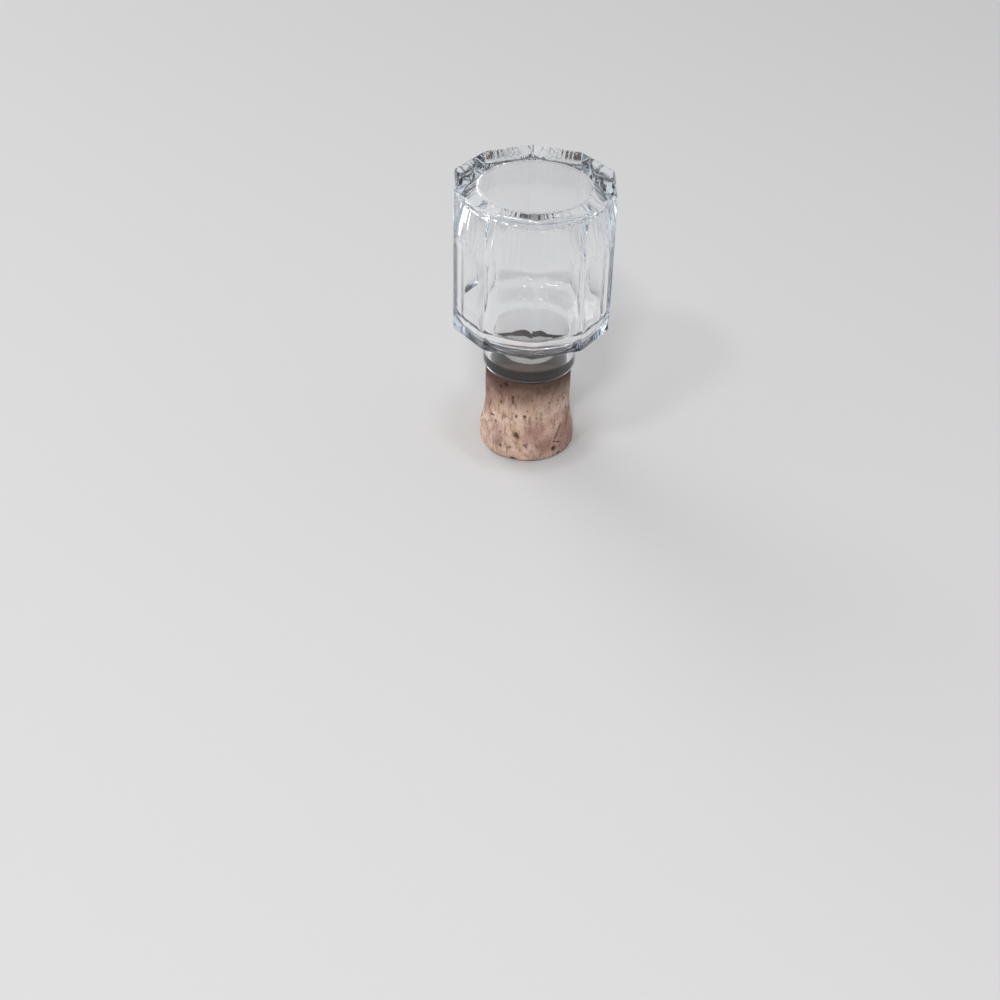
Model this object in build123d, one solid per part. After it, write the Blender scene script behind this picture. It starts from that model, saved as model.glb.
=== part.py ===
from build123d import *
import math
import os

os.makedirs("parts", exist_ok=True)

# Glass stopper: a hollow ten-sided head of blown glass, shaped like a small bottle turned upside down,
# and a natural cork whose tenon is glued into the head's open neck.
# Millimetres, Z up. The origin is the middle of the cork's flat lower end, on which the stopper stands.
# One corner of the head points along -Y.

# Cork, from its lower end upwards
cork_exposed_length = 28.3
cork_lip_height = 5.5
cork_flare_height = 7.0
cork_end_chamfer = 1.2
cork_shoulder_chamfer = 0.5
tenon_length = 3.7
tenon_chamfer = 0.4
# Steps on the radius: from the neck's outside in to the cork's waist, and from the waist out to the lip
cork_set_back = 0.9
cork_flare_width = 1.5

# Neck and shoulder of the head
neck_outer_diameter = 28.0
neck_wall = 2.3
neck_height = 10.4
neck_rim_chamfer = 0.8
bore_rim_chamfer = 0.5
neck_root_chamfer = 0.6
shoulder_height = 5.0
# Degrees of the neck's circle into which each rounded corner of the body fades
corner_fade = 10.0

# Ten-sided body of the head
side_count = 10
across_corners = 48.2
side_height = 44.1
corner_radius = 1.2
top_edge_radius = 0.9
bottom_edge_radius = 0.7

# Glass left round the cavity, its rounded upper corner and its two bevelled lower ones
side_wall = 2.4
shoulder_wall = 3.0
top_thickness = 4.3
cavity_top_radius = 3.4
cavity_foot_chamfer = 1.6
bore_mouth_chamfer = 2.0

# Glue film between the tenon and the bore, on the radius
glue_film = 0.05

# Radii that follow from the sizes above
corner_distance = across_corners / 2
flat_distance = corner_distance * math.cos(math.pi / side_count)
cavity_radius = flat_distance - side_wall
neck_radius = neck_outer_diameter / 2
bore_radius = neck_radius - neck_wall
tenon_radius = bore_radius - glue_film
waist_radius = neck_radius - cork_set_back
lip_radius = waist_radius + cork_flare_width

# Heights that follow from the sizes above
neck_end_z = cork_exposed_length
neck_root_z = neck_end_z + neck_height
side_bottom_z = neck_root_z + shoulder_height
top_z = side_bottom_z + side_height
ceiling_z = top_z - top_thickness
tenon_top_z = neck_end_z + tenon_length
flare_top_z = cork_lip_height + cork_flare_height


def ten_sided_face(height):
    """Outline of the head's sides with its corners rounded, one of them towards -Y."""
    outline = RegularPolygon(radius=corner_distance, side_count=side_count, rotation=-90)
    return Pos(0, 0, height) * fillet(outline.vertices(), corner_radius)


def round_face_in_steps(height):
    """Neck circle cut into a long arc for each side and a short one for each corner."""
    step = 360 / side_count
    arcs = []
    for turn in range(side_count):
        corner_start = -90 + step * turn - corner_fade / 2
        arcs.append(CenterArc((0, 0, height), neck_radius, corner_start, corner_fade))
        arcs.append(CenterArc((0, 0, height), neck_radius, corner_start + corner_fade, step - corner_fade))
    return make_face(Wire(arcs))


def edges_at(shape, height):
    """Edges of a shape that lie flat at one height."""
    return shape.edges().filter_by_position(Axis.Z, height - 0.01, height + 0.01)


def head_outside():
    """Flat sides, the shoulder that turns from ten sides to round, and the neck."""
    sides = extrude(ten_sided_face(side_bottom_z), side_height)
    shoulder = loft([ten_sided_face(side_bottom_z), round_face_in_steps(neck_root_z)], ruled=True)
    neck = Pos(0, 0, neck_end_z) * extrude(Circle(neck_radius), neck_height)
    body = sides + shoulder + neck
    body = fillet(edges_at(body, top_z), top_edge_radius)
    body = fillet(edges_at(body, side_bottom_z), bottom_edge_radius)
    body = chamfer(edges_at(body, neck_root_z), neck_root_chamfer)
    return chamfer(edges_at(body, neck_end_z), neck_rim_chamfer)


def shoulder_inside_z(radius):
    """Height of the shoulder's inner cone, which runs beside the outer one at the wall's thickness."""
    slope = math.atan2(shoulder_height, flat_distance - neck_radius)
    outer_z = neck_root_z + (radius - neck_radius) * math.tan(slope)
    return outer_z + shoulder_wall / math.cos(slope)


def corner_at(face, radius, height):
    """Corner of a flat section that lies at this radius and height."""
    return face.vertices().sort_by_distance(Vector(radius, height))[0]


def cavity():
    """Round hollow of the head: neck bore, sloped shoulder, straight wall and flat ceiling."""
    section = make_face(Polyline(
        (0, neck_end_z), (bore_radius, neck_end_z), (bore_radius, shoulder_inside_z(bore_radius)),
        (cavity_radius, shoulder_inside_z(cavity_radius)), (cavity_radius, ceiling_z), (0, ceiling_z),
        close=True,
    ))
    section = fillet(corner_at(section, cavity_radius, ceiling_z), cavity_top_radius)
    section = chamfer(corner_at(section, cavity_radius, shoulder_inside_z(cavity_radius)), cavity_foot_chamfer)
    section = chamfer(corner_at(section, bore_radius, shoulder_inside_z(bore_radius)), bore_mouth_chamfer)
    return revolve(Plane.XZ * section, Axis.Z)


def glass_head():
    """Hollow head, open only at the neck."""
    head = head_outside() - cavity()
    bore_rim = edges_at(head, neck_end_z).sort_by(SortBy.RADIUS)[0]
    return chamfer(bore_rim, bore_rim_chamfer)


def cork_plug():
    """Cork with a glued tenon, a waist, a flare and a fuller lip above its flat end."""
    section = make_face(Polyline(
        (0, 0), (lip_radius, 0), (lip_radius, cork_lip_height), (waist_radius, flare_top_z),
        (waist_radius, neck_end_z), (tenon_radius, neck_end_z), (tenon_radius, tenon_top_z),
        (0, tenon_top_z), close=True,
    ))
    section = chamfer(corner_at(section, lip_radius, 0), cork_end_chamfer)
    section = chamfer(corner_at(section, waist_radius, neck_end_z), cork_shoulder_chamfer)
    section = chamfer(corner_at(section, tenon_radius, tenon_top_z), tenon_chamfer)
    return revolve(Plane.XZ * section, Axis.Z)


export_step(glass_head(), "parts/glass_head.step")
export_step(cork_plug(), "parts/cork_plug.step")
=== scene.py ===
"""Looks of a glass stopper: its blown ten-sided head and its natural cork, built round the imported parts."""

import logging
import math
import random
from dataclasses import dataclass
from enum import Enum
from typing import Iterable, Iterator, Sequence

import bmesh
import bpy
from mathutils import Matrix, Vector, kdtree, noise


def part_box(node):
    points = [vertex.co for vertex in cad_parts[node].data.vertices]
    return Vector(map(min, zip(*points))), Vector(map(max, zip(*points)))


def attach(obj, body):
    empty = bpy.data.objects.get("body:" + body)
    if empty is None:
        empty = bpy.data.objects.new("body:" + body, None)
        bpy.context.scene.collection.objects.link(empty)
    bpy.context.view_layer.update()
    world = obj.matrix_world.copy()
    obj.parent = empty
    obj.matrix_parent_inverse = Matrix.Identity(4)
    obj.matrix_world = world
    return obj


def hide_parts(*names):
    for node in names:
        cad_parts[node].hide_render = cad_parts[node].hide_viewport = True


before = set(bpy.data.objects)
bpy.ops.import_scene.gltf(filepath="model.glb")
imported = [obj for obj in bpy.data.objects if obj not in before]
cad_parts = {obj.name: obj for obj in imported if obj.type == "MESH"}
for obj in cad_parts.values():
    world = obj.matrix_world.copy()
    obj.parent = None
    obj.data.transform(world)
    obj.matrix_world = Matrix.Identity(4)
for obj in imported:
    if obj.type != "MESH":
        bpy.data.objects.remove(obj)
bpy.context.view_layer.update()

log = logging.getLogger("glass_stopper")

Socket = bpy.types.NodeSocket
Colour = tuple[float, float, float, float]
Place = tuple[float, float, float]
Range = tuple[float, float]

MM = 0.001
# Millimetres within which two points of a mesh are one
MERGE_REACH = 0.0005
Z_AXIS = (0.0, 0.0, 1.0)
CENTRE = (0.0, 0.0, 0.0)


class Slot(Enum):
    """Material slots of the record."""

    CLEAR_GLASS = "clear_glass"
    NATURAL_CORK = "natural_cork"


@dataclass(frozen=True)
class Corner:
    """Corner of a half section, in millimetres: radius, height, and how it is rounded."""

    radius: float
    height: float
    rounding: float = 0.0
    segments: int = 8

    def turn(self, before: "Corner", after: "Corner") -> float:
        """Angle in radians by which the section turns here, between its two neighbours."""
        arriving = Vector((self.radius - before.radius, self.height - before.height))
        leaving = Vector((after.radius - self.radius, after.height - self.height))
        return arriving.angle(leaving)


@dataclass(frozen=True)
class Sweep:
    """One stretch of a spin about the Z axis, in radians, and its number of steps."""

    angle: float
    steps: int


def half_section(corners: Sequence[Corner], longest_step: float) -> bmesh.types.BMesh:
    """Draws a rounded half section in the XZ plane, with points close enough for the surface to bend.

    Args:
        corners: The section's corners in order.
        longest_step: The longest edge that is left, in millimetres.

    Returns:
        A new mesh that holds the section's points and edges.
    """
    mesh = bmesh.new()
    points = [mesh.verts.new((corner.radius, 0.0, corner.height)) for corner in corners]
    for start, end in zip(points, points[1:]):
        mesh.edges.new((start, end))
    for point, before, corner, after in zip(points[1:], corners, corners[1:], corners[2:]):
        if corner.rounding > 0.0:
            bmesh.ops.bevel(
                mesh, geom=[point], offset=corner.rounding * math.tan(corner.turn(before, after) / 2),
                offset_type="OFFSET", segments=corner.segments, profile=0.5, affect="VERTICES", material=-1,
            )
    for edge in list(mesh.edges):
        cuts = math.ceil(edge.calc_length() / longest_step) - 1
        if cuts > 0:
            bmesh.ops.subdivide_edges(mesh, edges=[edge], cuts=cuts)
    return mesh


def turned_skin(section: bmesh.types.BMesh, start: float, sweeps: Iterable[Sweep]) -> bmesh.types.BMesh:
    """Spins a half section about the Z axis in uneven stretches.

    Args:
        section: The mesh that holds the section, and then the skin.
        start: The angle at which the first stretch starts, in radians from the X axis.
        sweeps: The stretches in order.

    Returns:
        The same mesh, with its seam closed.
    """
    bmesh.ops.rotate(section, verts=list(section.verts), cent=CENTRE, matrix=Matrix.Rotation(start, 3, "Z"))
    ring = list(section.verts) + list(section.edges)
    for sweep in sweeps:
        spun = bmesh.ops.spin(
            section, geom=ring, cent=CENTRE, axis=Z_AXIS, angle=sweep.angle, steps=sweep.steps,
            use_merge=False,
        )
        ring = spun["geom_last"]
    bmesh.ops.remove_doubles(section, verts=list(section.verts), dist=MERGE_REACH)
    return section


def take_in(mesh: bmesh.types.BMesh, other: bmesh.types.BMesh) -> None:
    """Adds another mesh's skin to a mesh, and frees the other."""
    data = bpy.data.meshes.new("skin")
    other.to_mesh(data)
    other.free()
    mesh.from_mesh(data)
    bpy.data.meshes.remove(data)


def finished_piece(mesh: bmesh.types.BMesh, name: str) -> bpy.types.Object:
    """Closes a turned mesh drawn in millimetres, smooths it and makes it an object in metres.

    Args:
        mesh: The mesh, which is freed.
        name: The piece's name.

    Returns:
        The new object, at the origin.
    """
    bmesh.ops.remove_doubles(mesh, verts=list(mesh.verts), dist=MERGE_REACH)
    bmesh.ops.recalc_face_normals(mesh, faces=list(mesh.faces))
    bmesh.ops.scale(mesh, vec=(MM, MM, MM), verts=list(mesh.verts))
    for face in mesh.faces:
        face.smooth = True
    data = bpy.data.meshes.new(name)
    mesh.to_mesh(data)
    mesh.free()
    piece = bpy.data.objects.new(name, data)
    bpy.context.scene.collection.objects.link(piece)
    return piece


def hand_over(piece: bpy.types.Object, node: str, slot: Slot, material: bpy.types.Material) -> None:
    """Puts a finished piece on the part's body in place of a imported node."""
    piece.data.materials.append(material)
    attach(piece, "root")
    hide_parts(node)
    log.info("%s: %d points, %d faces", piece.name, len(piece.data.vertices), len(piece.data.polygons))


class NodeSheet:
    """A material's node tree, with short calls that add and join its nodes."""

    def __init__(self, name: str) -> None:
        """Starts an empty node material of this name."""
        self.material = bpy.data.materials.new(name)
        self.material.use_nodes = True
        self.tree = self.material.node_tree
        self.tree.nodes.clear()
        self.output = self.tree.nodes.new("ShaderNodeOutputMaterial")

    def add(self, kind: str, **settings: object) -> bpy.types.Node:
        """Adds a node.

        Args:
            kind: The node's type without its ShaderNode beginning.
            settings: Values of its properties, or of its inputs by name with spaces as underscores.

        Returns:
            The new node.
        """
        node = self.tree.nodes.new("ShaderNode" + kind)
        for key, value in settings.items():
            if hasattr(node, key):
                setattr(node, key, value)
            else:
                node.inputs[key.replace("_", " ")].default_value = value
        return node

    def join(self, source: Socket, target: Socket) -> None:
        """Links an output to an input."""
        self.tree.links.new(source, target)

    def scaled(self, source: Socket, low: float, high: float) -> Socket:
        """Turns the range from low to high of a value into 0 to 1, and clamps it."""
        node = self.add("MapRange", From_Min=low, From_Max=high)
        self.join(source, node.inputs["Value"])
        return node.outputs["Result"]

    def product(self, first: Socket, second: object) -> Socket:
        """Multiplies a value by another one or by a number."""
        return self.calculated("MULTIPLY", first, second)

    def calculated(self, operation: str, first: Socket, second: object) -> Socket:
        """Joins two values, or a value and a number, by a Math node."""
        node = self.add("Math", operation=operation)
        self.join(first, node.inputs[0])
        if isinstance(second, (int, float)):
            node.inputs[1].default_value = second
        else:
            self.join(second, node.inputs[1])
        return node.outputs[0]

    def sloped(self, source: Socket, slope: float, base: float) -> Socket:
        """Multiplies a value by a slope and adds a base."""
        node = self.add("Math", operation="MULTIPLY_ADD")
        self.join(source, node.inputs[0])
        node.inputs[1].default_value = slope
        node.inputs[2].default_value = base
        return node.outputs[0]

    def blended(self, share: Socket, under: object, over: object) -> Socket:
        """Lays one colour over another by a share from 0 to 1.

        Args:
            share: How much of the upper colour shows.
            under: The lower colour, a socket or four numbers.
            over: The upper colour, a socket or four numbers.

        Returns:
            The blended colour.
        """
        node = self.add("MixRGB")
        self.join(share, node.inputs["Fac"])
        for value, socket in ((under, node.inputs["Color1"]), (over, node.inputs["Color2"])):
            if isinstance(value, tuple):
                socket.default_value = value
            else:
                self.join(value, socket)
        return node.outputs["Color"]


@dataclass(frozen=True)
class ClearGlass:
    """Polished soda-lime glass, faintly blue where it is thick."""

    refraction: float = 1.52
    surface_tint: Colour = (1.0, 1.0, 1.0, 1.0)
    depth_tint: Colour = (0.72, 0.86, 1.0, 1.0)
    depth_density: float = 9.0

    def material(self) -> bpy.types.Material:
        """Makes the glass material, with absorption through its depth."""
        sheet = NodeSheet("clear_glass_look")
        shader = sheet.add(
            "BsdfPrincipled", Base_Color=self.surface_tint, Roughness=0.0, IOR=self.refraction,
            Transmission_Weight=1.0,
        )
        depth = sheet.add("VolumeAbsorption", Color=self.depth_tint, Density=self.depth_density)
        sheet.join(shader.outputs["BSDF"], sheet.output.inputs["Surface"])
        sheet.join(depth.outputs["Volume"], sheet.output.inputs["Volume"])
        return sheet.material


@dataclass(frozen=True)
class NoiseField:
    """A noise on a piece's Object coordinates, stretched along its axes."""

    scale: float
    detail: float
    roughness: float
    stretch: Place = (1.0, 1.0, 1.0)

    def drawn(self, sheet: NodeSheet, place: Socket) -> Socket:
        """Adds the noise to a sheet."""
        mapping = sheet.add("Mapping", Scale=self.stretch)
        sheet.join(place, mapping.inputs["Vector"])
        node = sheet.add("TexNoise", Scale=self.scale, Detail=self.detail, Roughness=self.roughness)
        sheet.join(mapping.outputs["Vector"], node.inputs["Vector"])
        return node.outputs["Fac"]


@dataclass(frozen=True)
class Spread:
    """How a value lays a colour on: where the colour starts, where it is full, and how strong it gets."""

    start: float
    full: float
    strength: float = 1.0

    def share(self, sheet: NodeSheet, source: Socket) -> Socket:
        """Adds the nodes that turn the value into the colour's share."""
        return sheet.product(sheet.scaled(source, self.start, self.full), self.strength)


@dataclass(frozen=True)
class NaturalCork:
    """Matt natural cork with dark pits, an upper end that darkens towards the top, and a dark wet tenon with
    glue on its top.

    Lengths are in metres, as the shader reads them.
    """

    tan: Colour = (0.58, 0.37, 0.26, 1.0)
    pale: Colour = (0.80, 0.60, 0.48, 1.0)
    rose: Colour = (0.41, 0.235, 0.185, 1.0)
    brown: Colour = (0.28, 0.155, 0.10, 1.0)
    pit_dark: Colour = (0.022, 0.012, 0.008, 1.0)
    # Colour towards which the cork darkens near its upper end
    upper_dark: Colour = (0.075, 0.036, 0.026, 1.0)
    wet_dark: Colour = (0.022, 0.008, 0.006, 1.0)
    glue_pale: Colour = (0.60, 0.59, 0.57, 1.0)
    golden: Colour = (0.11, 0.052, 0.026, 1.0)
    clouds: NoiseField = NoiseField(170.0, 4.0, 0.6, (1.0, 1.0, 1.6))
    fibres: NoiseField = NoiseField(900.0, 3.0, 0.6, (1.0, 1.0, 0.35))
    specks: NoiseField = NoiseField(2300.0, 2.0, 0.5)
    blushes: NoiseField = NoiseField(75.0, 2.0, 0.5)
    pale_spread: Spread = Spread(0.36, 0.66)
    rose_spread: Spread = Spread(0.45, 0.62)
    brown_spread: Spread = Spread(0.50, 0.68, 0.75)
    speck_spread: Spread = Spread(0.58, 0.68, 0.45)
    upper_dark_rise: Spread = Spread(0.0155, 0.0285)
    upper_dark_spread: Spread = Spread(0.45, 1.15, 0.92)
    upper_dark_cloudiness: float = 0.7
    pit_strength: float = 0.85
    wet_edge: float = 0.0004
    glue_spread: Spread = Spread(0.0083, 0.0077)
    glue_wave: float = 0.0012
    front_spread: Spread = Spread(0.0088, 0.0100)
    front_wave: float = 0.003
    top_skin: float = 0.0002
    dry_roughness: float = 0.78
    wet_roughness: float = 0.33
    relief_strength: float = 0.5
    relief_depth: float = 0.00012
    speck_relief: float = 0.6
    refraction: float = 1.33

    def material(self, tenon_foot: float, tenon_top: float) -> bpy.types.Material:
        """Makes the cork material.

        Args:
            tenon_foot: The height above which the cork is dark and wet with glue.
            tenon_top: The height of the cork's top, which is bare at the front.

        Returns:
            The material, which reads Object coordinates and the piece's pit attribute.
        """
        sheet = NodeSheet("natural_cork_look")
        place = sheet.add("TexCoord").outputs["Object"]
        split = sheet.add("SeparateXYZ")
        sheet.join(place, split.inputs["Vector"])
        clouds = self.clouds.drawn(sheet, place)
        fibres = self.fibres.drawn(sheet, place)
        specks = self.specks.drawn(sheet, place)

        colour = self.dry_colour(sheet, clouds, fibres, specks, self.blushes.drawn(sheet, place))
        colour = self.darkened_colour(sheet, colour, split.outputs["Z"], clouds)
        wet = sheet.scaled(split.outputs["Z"], tenon_foot - self.wet_edge, tenon_foot)
        colour = sheet.blended(wet, colour, self.wet_dark)
        colour = self.glued_colour(sheet, colour, split, clouds, wet, tenon_top)

        relief = sheet.add("Bump", Strength=self.relief_strength, Distance=self.relief_depth)
        roughened = sheet.calculated("ADD", fibres, sheet.product(specks, self.speck_relief))
        sheet.join(roughened, relief.inputs["Height"])
        shader = sheet.add("BsdfPrincipled", IOR=self.refraction)
        gloss = sheet.sloped(wet, self.wet_roughness - self.dry_roughness, self.dry_roughness)
        sheet.join(colour, shader.inputs["Base Color"])
        sheet.join(gloss, shader.inputs["Roughness"])
        sheet.join(relief.outputs["Normal"], shader.inputs["Normal"])
        sheet.join(shader.outputs["BSDF"], sheet.output.inputs["Surface"])
        return sheet.material

    def dry_colour(self, sheet: NodeSheet, clouds: Socket, fibres: Socket, specks: Socket,
                   blushes: Socket) -> Socket:
        """Mixes the clean cork's colour from its four noises."""
        colour = sheet.blended(self.pale_spread.share(sheet, clouds), self.tan, self.pale)
        colour = sheet.blended(self.rose_spread.share(sheet, blushes), colour, self.rose)
        colour = sheet.blended(self.brown_spread.share(sheet, fibres), colour, self.brown)
        return sheet.blended(self.speck_spread.share(sheet, specks), colour, self.pit_dark)

    def darkened_colour(self, sheet: NodeSheet, colour: Socket, height: Socket, clouds: Socket) -> Socket:
        """Darkens a colour towards the upper end, in patches set by the clouds, and lays the dark of the pits
        over it.
        """
        # Darker towards the upper end, in patches set by the clouds
        cloudy = sheet.product(clouds, self.upper_dark_cloudiness)
        upper_darkness = sheet.calculated("ADD", self.upper_dark_rise.share(sheet, height), cloudy)
        colour = sheet.blended(self.upper_dark_spread.share(sheet, upper_darkness), colour, self.upper_dark)
        pits = sheet.add("Attribute", attribute_name="pit")
        return sheet.blended(sheet.product(pits.outputs["Fac"], self.pit_strength), colour, self.pit_dark)

    def glued_colour(self, sheet: NodeSheet, colour: Socket, split: bpy.types.Node, clouds: Socket,
                     wet: Socket, tenon_top: float) -> Socket:
        """Lays the pale glue on the tenon's top over a colour, and leaves the top bare at the front.

        Args:
            sheet: The cork's sheet.
            colour: The colour below.
            split: The node that holds the point's X, Y and Z.
            clouds: The noise that makes the edges wavy.
            wet: The share of the tenon.
            tenon_top: The height of the tenon's top.

        Returns:
            The colour with the glue.
        """
        flat = sheet.add("CombineXYZ")
        sheet.join(split.outputs["X"], flat.inputs["X"])
        sheet.join(split.outputs["Y"], flat.inputs["Y"])
        reach = sheet.add("VectorMath", operation="LENGTH")
        sheet.join(flat.outputs["Vector"], reach.inputs[0])
        wavy = sheet.calculated("ADD", reach.outputs["Value"], sheet.product(clouds, self.glue_wave))
        glue = sheet.product(self.glue_spread.share(sheet, wavy), wet)
        forwards = sheet.sloped(split.outputs["Y"], -1.0, 0.0)
        front = sheet.calculated("ADD", forwards, sheet.product(clouds, self.front_wave))
        topmost = sheet.scaled(split.outputs["Z"], tenon_top - self.top_skin, tenon_top)
        bare = sheet.product(self.front_spread.share(sheet, front), topmost)
        colour = sheet.blended(glue, colour, self.glue_pale)
        return sheet.blended(bare, colour, self.golden)


@dataclass(frozen=True)
class PalePaint:
    """Plain pale paint of the floor."""

    colour: Colour = (0.62, 0.61, 0.60, 1.0)
    roughness: float = 0.7

    def material(self) -> bpy.types.Material:
        """Makes the floor's material."""
        sheet = NodeSheet("pale_floor_look")
        shader = sheet.add("BsdfPrincipled", Base_Color=self.colour, Roughness=self.roughness)
        sheet.join(shader.outputs["BSDF"], sheet.output.inputs["Surface"])
        return sheet.material


@dataclass(frozen=True)
class SidedOutline:
    """Regular outline with rounded corners, one of which points along -Y. Sizes are in millimetres."""

    side_count: int
    side_distance: float
    corner_radius: float

    @property
    def half_angle(self) -> float:
        """Half the angle that one side takes at the axis."""
        return math.pi / self.side_count

    @property
    def rounding_centre(self) -> float:
        """Distance from the axis to the centre of a corner's rounding."""
        return (self.side_distance - self.corner_radius) / math.cos(self.half_angle)

    def corner_reach(self) -> float:
        """Angle on each side of a corner within which its rounding lies."""
        along = self.rounding_centre + self.corner_radius * math.cos(self.half_angle)
        return math.atan2(self.corner_radius * math.sin(self.half_angle), along)

    def distance(self, azimuth: float) -> float:
        """Distance from the axis to the outline.

        Args:
            azimuth: The angle from the X axis, in radians.

        Returns:
            The distance in millimetres.
        """
        half = self.half_angle
        off_corner = abs((azimuth + math.pi / 2 + half) % (2 * half) - half)
        if off_corner >= self.corner_reach():
            return self.side_distance / math.cos(half - off_corner)
        across = self.rounding_centre * math.sin(off_corner)
        return self.rounding_centre * math.cos(off_corner) + math.sqrt(self.corner_radius ** 2 - across ** 2)


@dataclass(frozen=True)
class GlassHead:
    """Hollow ten-sided head with a sloped shoulder and an open round neck. Sizes are in millimetres.

    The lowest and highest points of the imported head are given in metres, as the frame has them.
    """

    lowest: Vector
    highest: Vector
    side_count: int = 10
    corner_radius: float = 1.2
    top_rounding: float = 0.9
    side_foot_rounding: float = 0.8
    neck_root_rounding: float = 0.8
    neck_end_rounding: float = 1.0
    neck_radius: float = 14.0
    neck_wall: float = 2.3
    neck_height: float = 10.4
    shoulder_height: float = 5.0
    side_wall: float = 2.4
    shoulder_wall: float = 3.0
    top_thickness: float = 4.3
    cavity_corner_radius: float = 11.0
    cavity_narrowing: float = 4.0
    cavity_taper_height: float = 11.0
    bore_rim_rounding: float = 0.6
    bore_mouth_rounding: float = 4.5
    wall_foot_rounding: float = 7.0
    taper_foot_rounding: float = 12.0
    ceiling_rounding: float = 1.2
    outer_wave: float = 0.035
    outer_wave_seed: Place = (3.1, 7.7, 1.3)
    inner_wave: float = 0.09
    inner_wave_seed: Place = (11.9, 2.3, 5.1)
    wave_length: float = 13.0
    chill_height: float = 0.03
    chill_length: float = 1.5
    chill_width: float = 6.0
    chill_reach: float = 14.0
    pleat_height: float = 0.20
    pleat_count: float = 20.0
    pleat_depth: float = 15.0
    pleat_fade: float = 8.0
    pleat_drift: float = 0.12
    # How far inside the ceiling's edge the pleats start
    pleat_margin: float = 1.0
    # Radius within which no point is moved, because it has no clear outward direction
    still_radius: float = 1.0
    outer_step: float = 1.5
    inner_step: float = 0.8
    # Angle of the fine stretch on each side of a corner, as a share of its rounding's angle
    fine_share: float = 1.5
    corner_steps: int = 8
    side_steps: int = 34

    @property
    def side_distance(self) -> float:
        """Distance from the axis to the middle of a flat side."""
        return self.highest.x / MM

    @property
    def top(self) -> float:
        """Height of the head's flat top."""
        return self.highest.z / MM

    @property
    def neck_end(self) -> float:
        """Height of the neck's open end."""
        return self.lowest.z / MM

    @property
    def bore_radius(self) -> float:
        """Radius of the neck's bore."""
        return self.neck_radius - self.neck_wall

    @property
    def outline(self) -> SidedOutline:
        """Ten-sided outline of the head's outside."""
        return SidedOutline(self.side_count, self.side_distance, self.corner_radius)

    @property
    def cavity_outline(self) -> SidedOutline:
        """Ten-sided outline of the cavity, with much softer corners."""
        return SidedOutline(self.side_count, self.side_distance - self.side_wall, self.cavity_corner_radius)

    @property
    def neck_root(self) -> float:
        """Height at which the neck meets the shoulder."""
        return self.neck_end + self.neck_height

    @property
    def ceiling(self) -> float:
        """Height of the cavity's flat ceiling."""
        return self.top - self.top_thickness

    @property
    def ceiling_radius(self) -> float:
        """Radius of the cavity's flat ceiling, before its edge is rounded."""
        return self.side_distance - self.side_wall - self.cavity_narrowing

    @property
    def fine_reach(self) -> float:
        """Angle on each side of a corner within which the spin is fine."""
        return self.fine_share * self.outline.corner_reach()

    def sweeps(self) -> list[Sweep]:
        """Stretches of the spin, fine round each corner and coarser along each side."""
        corner_angle = 2 * self.fine_reach
        side_angle = 2 * math.pi / self.side_count - corner_angle
        return [Sweep(corner_angle, self.corner_steps), Sweep(side_angle, self.side_steps)] * self.side_count

    def outer_corners(self) -> list[Corner]:
        """Outer skin, from the middle of the top to the middle of the neck's rim."""
        return [
            Corner(0.0, self.top),
            Corner(self.side_distance, self.top, self.top_rounding),
            Corner(self.side_distance, self.neck_root + self.shoulder_height, self.side_foot_rounding),
            Corner(self.neck_radius, self.neck_root, self.neck_root_rounding),
            Corner(self.neck_radius, self.neck_end, self.neck_end_rounding),
            Corner(self.neck_radius - self.neck_wall / 2, self.neck_end),
        ]

    def inner_corners(self) -> list[Corner]:
        """Inner skin, from the middle of the neck's rim to the middle of the cavity's ceiling."""
        cavity_radius = self.side_distance - self.side_wall
        slope = math.atan2(self.shoulder_height, self.side_distance - self.neck_radius)
        lift = self.neck_root + self.shoulder_wall / math.cos(slope)
        bore_top = lift + (self.bore_radius - self.neck_radius) * math.tan(slope)
        wall_foot = lift + (cavity_radius - self.neck_radius) * math.tan(slope)
        return [
            Corner(self.neck_radius - self.neck_wall / 2, self.neck_end),
            Corner(self.bore_radius, self.neck_end, self.bore_rim_rounding),
            Corner(self.bore_radius, bore_top, self.bore_mouth_rounding),
            Corner(cavity_radius, wall_foot, self.wall_foot_rounding, 12),
            Corner(cavity_radius, self.ceiling - self.cavity_taper_height, self.taper_foot_rounding),
            Corner(self.ceiling_radius, self.ceiling, self.ceiling_rounding, 6),
            Corner(0.0, self.ceiling),
        ]

    def push_to_sides(self, skin: bmesh.types.BMesh, outline: SidedOutline, round_within: float) -> None:
        """Moves a turned skin from round to many-sided.

        Args:
            skin: The turned skin.
            outline: The many-sided outline that it reaches.
            round_within: The radius within which it stays round. Between there and the outline it fades.
        """
        for point in skin.verts:
            radius = math.hypot(point.co.x, point.co.y)
            share = (radius - round_within) / (outline.side_distance - round_within)
            if share <= 0.0:
                continue
            azimuth = math.atan2(point.co.y, point.co.x)
            push = min(share, 1.0) * (outline.distance(azimuth) - outline.side_distance)
            scale = (radius + push) / radius
            point.co.x *= scale
            point.co.y *= scale

    def ripple(self, skin: bmesh.types.BMesh, height: float, seed: Place) -> None:
        """Gives a skin the slight unevenness of blown glass.

        Args:
            skin: The turned skin.
            height: The largest rise and fall in millimetres.
            seed: The place in the noise, different for each skin.
        """
        for point in skin.verts:
            rise = height * noise.noise(point.co / self.wave_length + Vector(seed))
            self.move_outwards(point, rise)

    def chill(self, skin: bmesh.types.BMesh) -> None:
        """Gives the cavity's lower wall and shoulder the fine level ripples of glass that cooled quickly."""
        side_bottom = self.neck_root + self.shoulder_height
        width = self.chill_width
        for point in skin.verts:
            above = point.co.z - side_bottom
            share = 1.0 - min(max(above / self.chill_reach, 0.0), 1.0)
            place = Vector((point.co.x / width, point.co.y / width, point.co.z / self.chill_length))
            self.move_outwards(point, self.chill_height * share * noise.noise(place))

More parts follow.
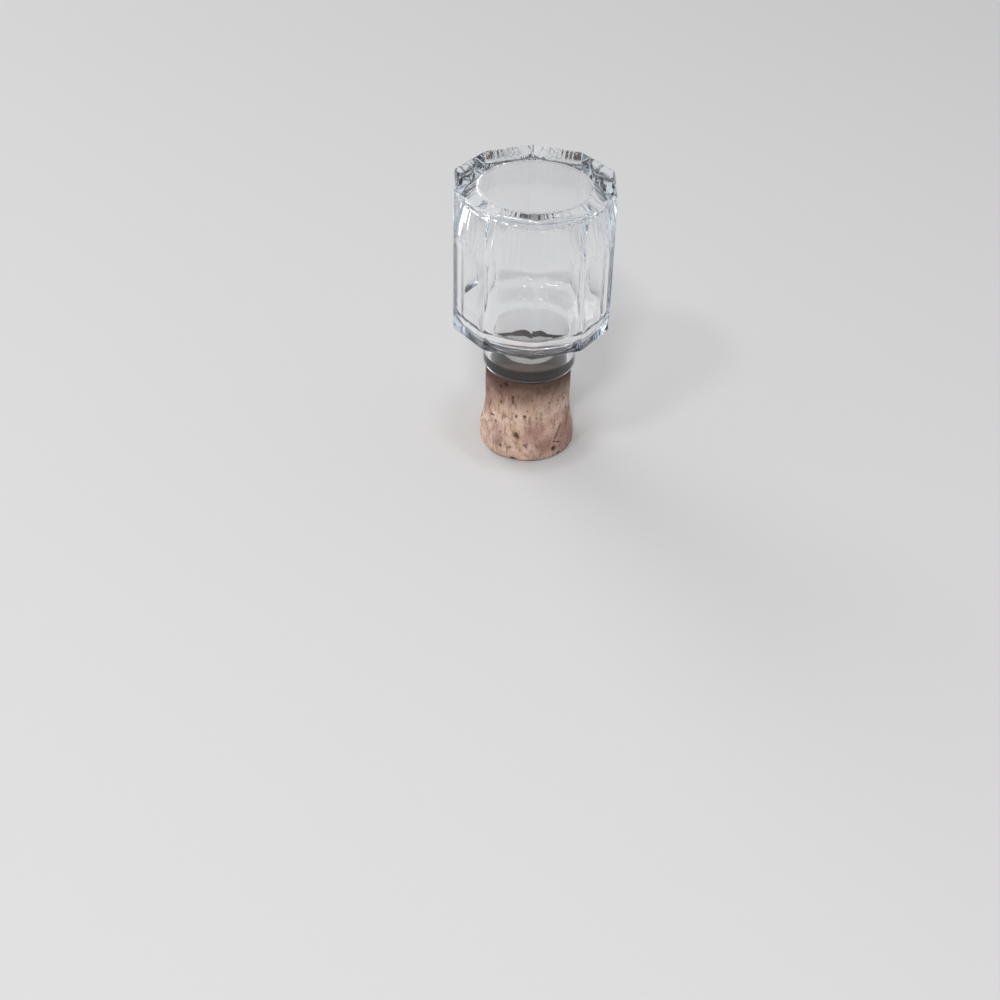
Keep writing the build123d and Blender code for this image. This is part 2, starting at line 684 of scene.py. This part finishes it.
    def pleat(self, skin: bmesh.types.BMesh) -> None:
        """Gives the cavity's narrower upper end the upright pleats that catch the light in its ring."""
        for point in skin.verts:
            radius = math.hypot(point.co.x, point.co.y)
            outside = radius - self.ceiling_radius + self.pleat_margin
            above = point.co.z - self.ceiling + self.pleat_depth
            if outside < 0.0 or above < 0.0:
                continue
            share = min(1.0, outside, above / self.pleat_fade)
            spread = self.pleat_count / radius
            drift = self.pleat_drift * (radius + point.co.z)
            place = Vector((point.co.x * spread, point.co.y * spread, drift))
            rise = self.pleat_height * share * noise.noise(place)
            self.move_outwards(point, rise)
            below_ceiling = (self.ceiling - point.co.z) / self.cavity_taper_height
            point.co.z += rise * max(0.0, 1.0 - below_ceiling)

    def move_outwards(self, point: bmesh.types.BMVert, rise: float) -> None:
        """Moves a point of the head's body away from the axis, and leaves the neck as it is."""
        radius = math.hypot(point.co.x, point.co.y)
        if radius > self.still_radius and point.co.z > self.neck_root:
            point.co.x += point.co.x / radius * rise
            point.co.y += point.co.y / radius * rise

    def build(self) -> bpy.types.Object:
        """Builds the head's closed glass shell as one piece."""
        start = -math.pi / 2 - self.fine_reach
        outer = turned_skin(half_section(self.outer_corners(), self.outer_step), start, self.sweeps())
        self.push_to_sides(outer, self.outline, self.neck_radius)
        self.ripple(outer, self.outer_wave, self.outer_wave_seed)
        inner = turned_skin(half_section(self.inner_corners(), self.inner_step), start, self.sweeps())
        self.push_to_sides(inner, self.cavity_outline, self.ceiling_radius)
        self.ripple(inner, self.inner_wave, self.inner_wave_seed)
        self.chill(inner)
        self.pleat(inner)
        take_in(outer, inner)
        return finished_piece(outer, "blown_glass_head")


@dataclass(frozen=True)
class Hollow:
    """A pit in the cork's side: its centre, reach and depth in millimetres, and how upright it stands."""

    centre: Vector
    reach: float
    depth: float
    upright: float = 1.0


@dataclass(frozen=True)
class DeepCrack:
    """A crack as a row of hollows: where it starts, and how each next one lies to the one before."""

    degrees: float
    height: float
    lean: float
    climb: float
    count: int


@dataclass(frozen=True)
class CorkFlaws:
    """Pits, cracks and chipped edges of a cork's side, drawn by a fixed seed. Lengths are in millimetres.

    A range holds the least and the greatest value that are drawn.
    """

    seed: int = 20
    pit_count: int = 120
    lowest_pit: float = 0.8
    pit_top_margin: float = 1.0
    smallest_pit: float = 0.28
    pit_growth: float = 0.75
    pit_depth_share: Range = (0.5, 0.8)
    pit_upright: Range = (0.7, 1.6)
    crack_count: int = 9
    lowest_crack: float = 2.0
    crack_top_margin: float = 6.0
    crack_drift: Range = (-0.02, 0.02)
    crack_wander: Range = (-0.008, 0.008)
    crack_pits: tuple[int, int] = (8, 22)
    crack_reach: Range = (0.26, 0.42)
    crack_depth: Range = (0.3, 0.6)
    steep_climb: float = 0.28
    level_climb: float = 0.05
    level_drift: float = 0.02
    chip_count: int = 9
    chip_scatter: Range = (-0.9, 0.9)
    chip_reach: Range = (0.5, 1.5)
    chip_height: Range = (-0.2, 0.7)
    chip_depth_share: Range = (0.2, 0.4)
    deep_reach: Range = (0.18, 0.36)
    deep_wander: Range = (-0.6, 0.6)
    deep_cracks: tuple[DeepCrack, ...] = (
        DeepCrack(-56.0, 6.0, 0.9, 0.30, 16),
        DeepCrack(-46.0, 5.0, -1.3, 0.16, 7),
        DeepCrack(-95.0, 6.0, 1.1, 0.12, 5),
        DeepCrack(-91.0, 5.2, -0.9, 0.28, 5),
        DeepCrack(-116.0, 4.2, 1.3, 0.22, 5),
        DeepCrack(-30.0, 9.0, 0.6, 0.30, 14),
        DeepCrack(60.0, 4.5, 0.4, 0.30, 16),
        DeepCrack(150.0, 9.0, -1.2, 0.2, 9),
        DeepCrack(205.0, 14.0, 0.5, 0.30, 12),
    )

    def hollows(self, plug: "CorkPlug") -> list[Hollow]:
        """Places all the flaws on a cork's side, always in the same order."""
        draw = random.Random(self.seed)
        return [
            *self.pits(plug, draw),
            *self.cracks(plug, draw),
            *self.chips(plug, draw),
            *self.given_cracks(plug, draw),
        ]

    def pits(self, plug: "CorkPlug", draw: random.Random) -> Iterator[Hollow]:
        """Scatters single pits over the side, many small ones and a few large ones."""
        highest_pit = plug.neck_end - self.pit_top_margin
        for _ in range(self.pit_count):
            centre = plug.side_point(draw.uniform(0, 2 * math.pi), draw.uniform(self.lowest_pit, highest_pit))
            reach = self.smallest_pit + self.pit_growth * draw.random() ** 3
            depth = reach * draw.uniform(*self.pit_depth_share)
            yield Hollow(centre, reach, depth, draw.uniform(*self.pit_upright))

    def cracks(self, plug: "CorkPlug", draw: random.Random) -> Iterator[Hollow]:
        """Draws fine cracks, about two in three of them steep and the others nearly level."""
        highest_crack = plug.neck_end - self.crack_top_margin
        for _ in range(self.crack_count):
            azimuth = draw.uniform(0, 2 * math.pi)
            height = draw.uniform(self.lowest_crack, highest_crack)
            drift = draw.uniform(*self.crack_drift)
            climb = draw.choice((self.steep_climb, self.steep_climb, self.level_climb))
            if climb == self.level_climb:
                drift = self.level_drift
            for _ in range(draw.randrange(*self.crack_pits)):
                reach = draw.uniform(*self.crack_reach)
                yield Hollow(plug.side_point(azimuth, height), reach, draw.uniform(*self.crack_depth))
                azimuth += drift + draw.uniform(*self.crack_wander)
                height += climb

    def chips(self, plug: "CorkPlug", draw: random.Random) -> Iterator[Hollow]:
        """Chips the lower edge all round."""
        for number in range(self.chip_count):
            azimuth = 2 * math.pi * (number + draw.uniform(*self.chip_scatter)) / self.chip_count
            reach = draw.uniform(*self.chip_reach)
            centre = plug.side_point(azimuth, draw.uniform(*self.chip_height))
            yield Hollow(centre, reach, reach * draw.uniform(*self.chip_depth_share))

    def given_cracks(self, plug: "CorkPlug", draw: random.Random) -> Iterator[Hollow]:
        """Draws the cracks whose places are given."""
        for crack in self.deep_cracks:
            azimuth = math.radians(crack.degrees)
            height = crack.height
            for _ in range(crack.count):
                reach = draw.uniform(*self.deep_reach)
                yield Hollow(plug.side_point(azimuth, height), reach, draw.uniform(*self.crack_depth))
                azimuth += math.radians(crack.lean + draw.uniform(*self.deep_wander))
                height += crack.climb


@dataclass(frozen=True)
class CorkPlug:
    """Natural cork: flat lower end, full lip, flare, waist and the tenon in the head's neck. Millimetres.

    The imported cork's highest point is given in metres, as the frame has it.
    """

    highest: Vector
    lip_radius: float
    neck_end: float
    waist_radius: float = 13.1
    tenon_radius: float = 11.72
    lip_height: float = 5.5
    flare_height: float = 7.0
    end_rounding: float = 1.3
    lip_rounding: float = 12.0
    waist_rounding: float = 20.0
    shoulder_rounding: float = 0.5
    tenon_rounding: float = 0.4
    # How far the shoulder stands above the neck's end, so that no gap shows
    seat_press: float = 0.02
    row_step: float = 0.32
    turn_steps: int = 288
    flaws: CorkFlaws = CorkFlaws()
    # Share of a hollow's reach by which its edge is ragged, how fine that is, and how far it is looked for
    ragged_share: float = 0.5
    ragged_scale: float = 1.9
    search_share: float = 1.7
    # How steeply a hollow's wall and its dark colour rise from the edge
    wall_slope: float = 2.2
    dark_slope: float = 2.6
    # How far inside the waist and below the neck's end the cork stays smooth
    smooth_within: float = 0.9
    smooth_above: float = 0.3
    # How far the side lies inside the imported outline, and the lumps and the grit on it
    side_clearance: float = 0.08
    lump_height: float = 0.10
    lump_length: float = 5.0
    grit_height: float = 0.05
    grit_length: float = 1.1

    def corners(self) -> list[Corner]:
        """Half section from the middle of the lower end to the middle of the tenon's top."""
        seat = self.neck_end + self.seat_press
        tenon_top = self.highest.z / MM
        return [
            Corner(0.0, 0.0),
            Corner(self.lip_radius, 0.0, self.end_rounding, 5),
            Corner(self.lip_radius, self.lip_height, self.lip_rounding, 6),
            Corner(self.waist_radius, self.lip_height + self.flare_height, self.waist_rounding, 6),
            Corner(self.waist_radius, seat, self.shoulder_rounding, 4),
            Corner(self.tenon_radius, seat),
            Corner(self.tenon_radius, tenon_top, self.tenon_rounding, 3),
            Corner(0.0, tenon_top),
        ]

    def side_radius(self, height: float) -> float:
        """Radius of the cork's side at a height, before its pits are cut."""
        share = min(max((self.lip_height + self.flare_height - height) / self.flare_height, 0.0), 1.0)
        return self.waist_radius + (self.lip_radius - self.waist_radius) * share

    def side_point(self, azimuth: float, height: float) -> Vector:
        """Point on the cork's side."""
        radius = self.side_radius(height)
        return Vector((radius * math.cos(azimuth), radius * math.sin(azimuth), height))

    def carve(self, mesh: bmesh.types.BMesh) -> None:
        """Sinks the flaws into the side, roughens it, and writes how dark each point is as pit."""
        layer = mesh.verts.layers.float.new("pit")
        points = list(mesh.verts)
        tree = kdtree.KDTree(len(points))
        for index, point in enumerate(points):
            tree.insert(point.co, index)
        tree.balance()
        sink = [0.0] * len(points)
        for hollow in self.flaws.hollows(self):
            for place, index, _ in tree.find_range(hollow.centre, hollow.reach * self.search_share):
                off = place - hollow.centre
                off.z /= hollow.upright
                ragged = 1.0 + self.ragged_share * noise.noise(place * self.ragged_scale)
                share = 1.0 - off.length / (hollow.reach * ragged)
                if share > 0.0:
                    sink[index] = max(sink[index], hollow.depth * min(1.0, self.wall_slope * share))
                    points[index][layer] = max(points[index][layer], min(1.0, self.dark_slope * share))
        self.roughen(points, sink, layer)

    def roughen(self, points: Sequence[bmesh.types.BMVert], sink: Sequence[float],
                layer: bmesh.types.BMLayerItem) -> None:
        """Moves the side's points inwards by how deep they lie and by the cork's lumps.

        Args:
            points: The cork's points.
            sink: How deep each of them lies in a flaw.
            layer: The layer of the dark shares, which is cleared on the smooth faces.
        """
        for point, depth in zip(points, sink):
            radius = math.hypot(point.co.x, point.co.y)
            inside = radius < self.waist_radius - self.smooth_within
            if inside or point.co.z > self.neck_end - self.smooth_above:
                point[layer] = 0.0
                continue
            lump = self.lump_height * noise.noise(point.co / self.lump_length)
            grit = self.grit_height * noise.noise(point.co / self.grit_length)
            inward = depth + self.side_clearance - (lump + grit)
            point.co.x -= point.co.x / radius * inward
            point.co.y -= point.co.y / radius * inward

    def build(self) -> bpy.types.Object:
        """Builds the cork as one closed piece."""
        full_turn = Sweep(2 * math.pi, self.turn_steps)
        mesh = turned_skin(half_section(self.corners(), self.row_step), 0.0, [full_turn])
        self.carve(mesh)
        return finished_piece(mesh, "natural_cork_plug")


@dataclass(frozen=True)
class SoftBox:
    """A rectangular lamp: place in metres, width, height and power in watts."""

    name: str
    place: Place
    width: float
    height: float
    power: float


@dataclass(frozen=True)
class Studio:
    """Floor, soft light and the camera, at the photograph's viewing angle."""

    target: Place = (0.0, 0.0, 0.05)
    floor_reach: float = 6.0
    lens: float = 55.94
    nearest: float = 0.01
    camera_place: Place = (-0.0167, -0.3987, 0.2865)
    camera_pitch: float = -38.11
    camera_yaw: float = -1.30
    camera_roll: float = 1.47
    dark_side: Colour = (0.31, 0.345, 0.40, 1.0)
    light_side: Colour = (0.70, 0.69, 0.68, 1.0)
    # Where the room is fully light, from 0 in front of the stopper to 1 behind it
    light_full: float = 0.7
    flank: Colour = (0.84, 0.92, 1.06, 1.0)
    flank_start: float = 0.55
    flank_full: float = 0.90
    world_strength: float = 0.76
    light_bounces: int = 24
    glass_bounces: int = 20
    mirror_bounces: int = 12
    lamps: tuple[SoftBox, ...] = (
        SoftBox("window_light", (-0.16, -0.95, 1.05), 0.20, 0.13, 6.0),
        SoftBox("top_light", (0.02, -0.14, 1.30), 0.16, 0.16, 2.4),
        SoftBox("left_light", (-1.6, -0.6, 1.0), 3.0, 3.0, 5.5),
        SoftBox("left_window", (-0.55, -0.62, 1.10), 0.16, 0.10, 2.5),
        SoftBox("back_light", (-1.3, 1.5, 1.1), 1.3, 1.3, 15.0),
    )

    def lay_floor(self) -> None:
        """Lays the plain pale floor on which the stopper stands."""
        mesh = bmesh.new()
        bmesh.ops.create_grid(mesh, x_segments=1, y_segments=1, size=self.floor_reach)
        data = bpy.data.meshes.new("pale_floor")
        mesh.to_mesh(data)
        mesh.free()
        floor = bpy.data.objects.new("pale_floor", data)
        bpy.context.scene.collection.objects.link(floor)
        data.materials.append(PalePaint().material())

    def hang_lamps(self) -> None:
        """Hangs the soft boxes, all aimed at the stopper."""
        for lamp in self.lamps:
            light = bpy.data.lights.new(lamp.name, "AREA")
            light.shape = "RECTANGLE"
            light.size = lamp.width
            light.size_y = lamp.height
            light.energy = lamp.power
            hung = bpy.data.objects.new(lamp.name, light)
            hung.location = lamp.place
            hung.rotation_euler = (Vector(self.target) - hung.location).to_track_quat("-Z", "Y").to_euler()
            bpy.context.scene.collection.objects.link(hung)

    def light_room(self) -> None:
        """Makes the room pale behind the stopper, darker on the camera's side and bluish on both flanks."""
        world = bpy.data.worlds.new("pale_room")
        bpy.context.scene.world = world
        world.use_nodes = True
        tree = world.node_tree
        room = tree.nodes["Background"]
        room.inputs["Strength"].default_value = self.world_strength
        direction = tree.nodes.new("ShaderNodeTexCoord").outputs["Generated"]
        split = tree.nodes.new("ShaderNodeSeparateXYZ")
        span = tree.nodes.new("ShaderNodeMapRange")
        span.inputs["From Min"].default_value = -1.0
        ramp = tree.nodes.new("ShaderNodeValToRGB")
        ramp.color_ramp.elements[0].color = self.dark_side
        ramp.color_ramp.elements[1].color = self.light_side
        ramp.color_ramp.elements[1].position = self.light_full
        tree.links.new(direction, split.inputs[0])
        tree.links.new(split.outputs["Y"], span.inputs["Value"])
        tree.links.new(span.outputs["Result"], ramp.inputs["Fac"])
        sideways = tree.nodes.new("ShaderNodeMath")
        sideways.operation = "ABSOLUTE"
        tree.links.new(split.outputs["X"], sideways.inputs[0])
        share = tree.nodes.new("ShaderNodeMapRange")
        share.inputs["From Min"].default_value = self.flank_start
        share.inputs["From Max"].default_value = self.flank_full
        tree.links.new(sideways.outputs[0], share.inputs["Value"])
        blend = tree.nodes.new("ShaderNodeMixRGB")
        tree.links.new(share.outputs["Result"], blend.inputs["Fac"])
        tree.links.new(ramp.outputs["Color"], blend.inputs["Color1"])
        blend.inputs["Color2"].default_value = self.flank
        tree.links.new(blend.outputs["Color"], room.inputs["Color"])

    def set_camera(self) -> None:
        """Places the camera and lets light pass through all the glass walls."""
        scene = bpy.context.scene
        lens = bpy.data.cameras.new("camera")
        lens.lens = self.lens
        lens.clip_start = self.nearest
        camera = bpy.data.objects.new("camera", lens)
        scene.collection.objects.link(camera)
        camera.matrix_world = (
            Matrix.Translation(self.camera_place)
            @ Matrix.Rotation(math.radians(self.camera_yaw), 4, "Z")
            @ Matrix.Rotation(math.radians(90.0 + self.camera_pitch), 4, "X")
            @ Matrix.Rotation(math.radians(self.camera_roll), 4, "Z")
        )
        scene.camera = camera
        scene.view_settings.view_transform = "Standard"
        scene.cycles.max_bounces = self.light_bounces
        scene.cycles.transmission_bounces = self.glass_bounces
        scene.cycles.glossy_bounces = self.mirror_bounces

    def build(self) -> None:
        """Builds the whole studio."""
        self.lay_floor()
        self.hang_lamps()
        self.light_room()
        self.set_camera()
        log.info("studio: %d lamps", len(self.lamps))


def main() -> None:
    """Builds the studio, the glass head and the cork, and dresses them."""
    logging.basicConfig(level=logging.INFO, format="%(name)s: %(message)s")
    Studio().build()
    head = GlassHead(*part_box("glass_head"))
    hand_over(head.build(), "glass_head", Slot.CLEAR_GLASS, ClearGlass().material())
    _, cork_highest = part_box("cork_plug")
    plug = CorkPlug(highest=cork_highest, lip_radius=cork_highest.x / MM, neck_end=head.neck_end)
    cork_look = NaturalCork().material(head.neck_end * MM, cork_highest.z)
    hand_over(plug.build(), "cork_plug", Slot.NATURAL_CORK, cork_look)


if __name__ == "__main__":
    main()
